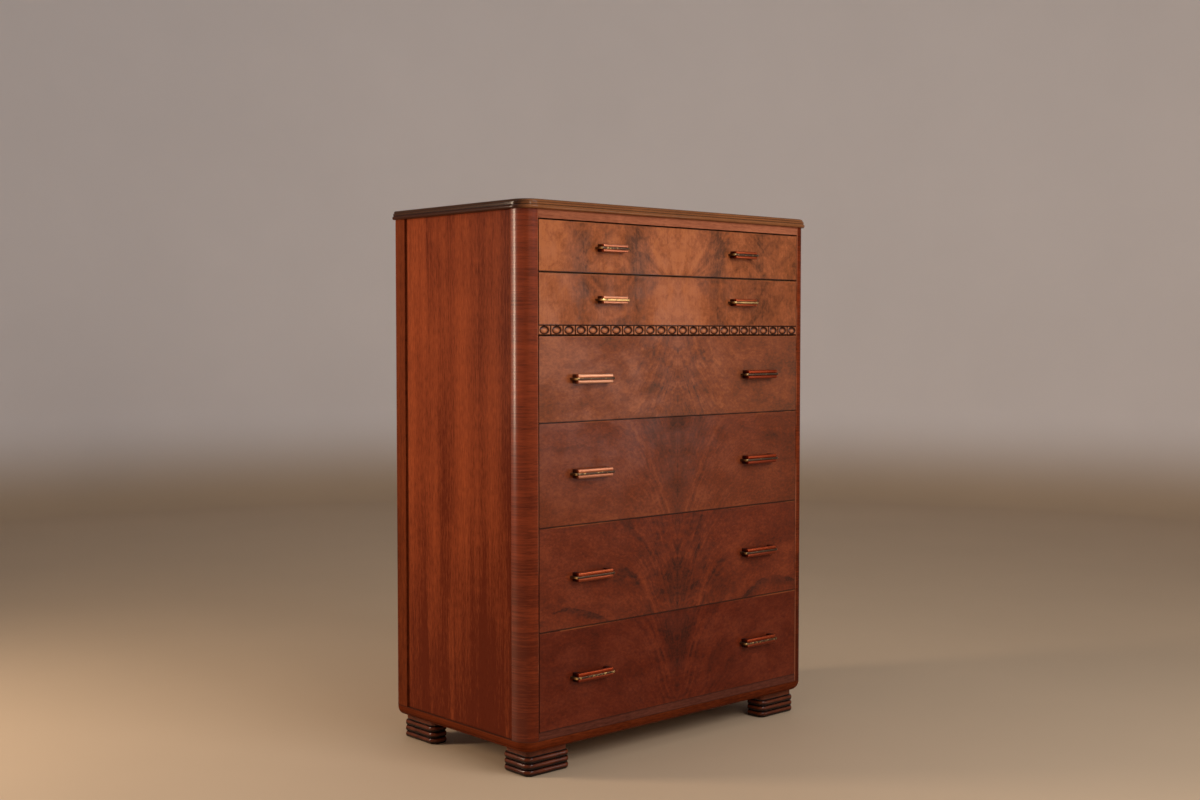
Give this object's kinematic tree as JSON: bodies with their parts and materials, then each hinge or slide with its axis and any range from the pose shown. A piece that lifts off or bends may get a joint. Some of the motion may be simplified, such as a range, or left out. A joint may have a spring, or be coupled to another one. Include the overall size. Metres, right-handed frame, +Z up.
{
  "type": "tall chest of drawers",
  "caption": "Tall wooden chest of drawers with rounded corner posts, a carved band, a moulded top and reeded feet; the drawers slide out on wooden runners.",
  "frame": {"origin": "floor level, in the middle of the outer box", "axes": "+Z up, +X to the right of someone who faces the drawers, -Y the way the drawers open"},
  "size_m": [0.88, 0.469, 1.1725],
  "materials": {
    "case_veneer": "satin",
    "side_veneer": "satin",
    "post_veneer": "satin",
    "top_veneer": "satin",
    "front_veneer": "satin",
    "carved_wood": "satin",
    "foot_wood": "satin",
    "inner_wood": "matte",
    "drawer_wood": "matte",
    "thin_ply": "matte",
    "pull_metal": "worn"
  },
  "bodies": {
    "carcass": {"top_board": "top_veneer", "top_front_rail": "case_veneer", "carved_rail": "carved_wood", "bottom_front_rail": "case_veneer", "left_front_post": "post_veneer", "right_front_post": "post_veneer", "left_rear_post": "case_veneer", "right_rear_post": "case_veneer", "left_side_panel": "side_veneer", "right_side_panel": "side_veneer", "back_panel": "thin_ply", "base_front_moulding": "case_veneer", "base_left_moulding": "case_veneer", "base_right_moulding": "case_veneer", "front_feet": "foot_wood", "rear_feet": "foot_wood", "divider_rails": "inner_wood", "left_runners": "inner_wood", "right_runners": "inner_wood", "left_guides": "inner_wood", "right_guides": "inner_wood", "rear_rails": "inner_wood", "top_cleats": "inner_wood"},
    "drawer_1": {"drawer_1_front": "front_veneer", "drawer_1_left_side": "drawer_wood", "drawer_1_right_side": "drawer_wood", "drawer_1_back": "drawer_wood", "drawer_1_bottom": "thin_ply", "drawer_1_pulls": "pull_metal"},
    "drawer_2": {"drawer_2_front": "front_veneer", "drawer_2_left_side": "drawer_wood", "drawer_2_right_side": "drawer_wood", "drawer_2_back": "drawer_wood", "drawer_2_bottom": "thin_ply", "drawer_2_pulls": "pull_metal"},
    "drawer_3": {"drawer_3_front": "front_veneer", "drawer_3_left_side": "drawer_wood", "drawer_3_right_side": "drawer_wood", "drawer_3_back": "drawer_wood", "drawer_3_bottom": "thin_ply", "drawer_3_pulls": "pull_metal"},
    "drawer_4": {"drawer_4_front": "front_veneer", "drawer_4_left_side": "drawer_wood", "drawer_4_right_side": "drawer_wood", "drawer_4_back": "drawer_wood", "drawer_4_bottom": "thin_ply", "drawer_4_pulls": "pull_metal"},
    "drawer_5": {"drawer_5_front": "front_veneer", "drawer_5_left_side": "drawer_wood", "drawer_5_right_side": "drawer_wood", "drawer_5_back": "drawer_wood", "drawer_5_bottom": "thin_ply", "drawer_5_pulls": "pull_metal"},
    "drawer_6": {"drawer_6_front": "front_veneer", "drawer_6_left_side": "drawer_wood", "drawer_6_right_side": "drawer_wood", "drawer_6_back": "drawer_wood", "drawer_6_bottom": "thin_ply", "drawer_6_pulls": "pull_metal"}
  },
  "joints": [
    {"name": "drawer_1_slide", "type": "slide", "parent": "carcass", "child": "drawer_1", "axis": [0, -1, 0], "range_m": [0, 0.33]},
    {"name": "drawer_2_slide", "type": "slide", "parent": "carcass", "child": "drawer_2", "axis": [0, -1, 0], "range_m": [0, 0.33]},
    {"name": "drawer_3_slide", "type": "slide", "parent": "carcass", "child": "drawer_3", "axis": [0, -1, 0], "range_m": [0, 0.33]},
    {"name": "drawer_4_slide", "type": "slide", "parent": "carcass", "child": "drawer_4", "axis": [0, -1, 0], "range_m": [0, 0.33]},
    {"name": "drawer_5_slide", "type": "slide", "parent": "carcass", "child": "drawer_5", "axis": [0, -1, 0], "range_m": [0, 0.33]},
    {"name": "drawer_6_slide", "type": "slide", "parent": "carcass", "child": "drawer_6", "axis": [0, -1, 0], "range_m": [0, 0.33]}
  ]
}
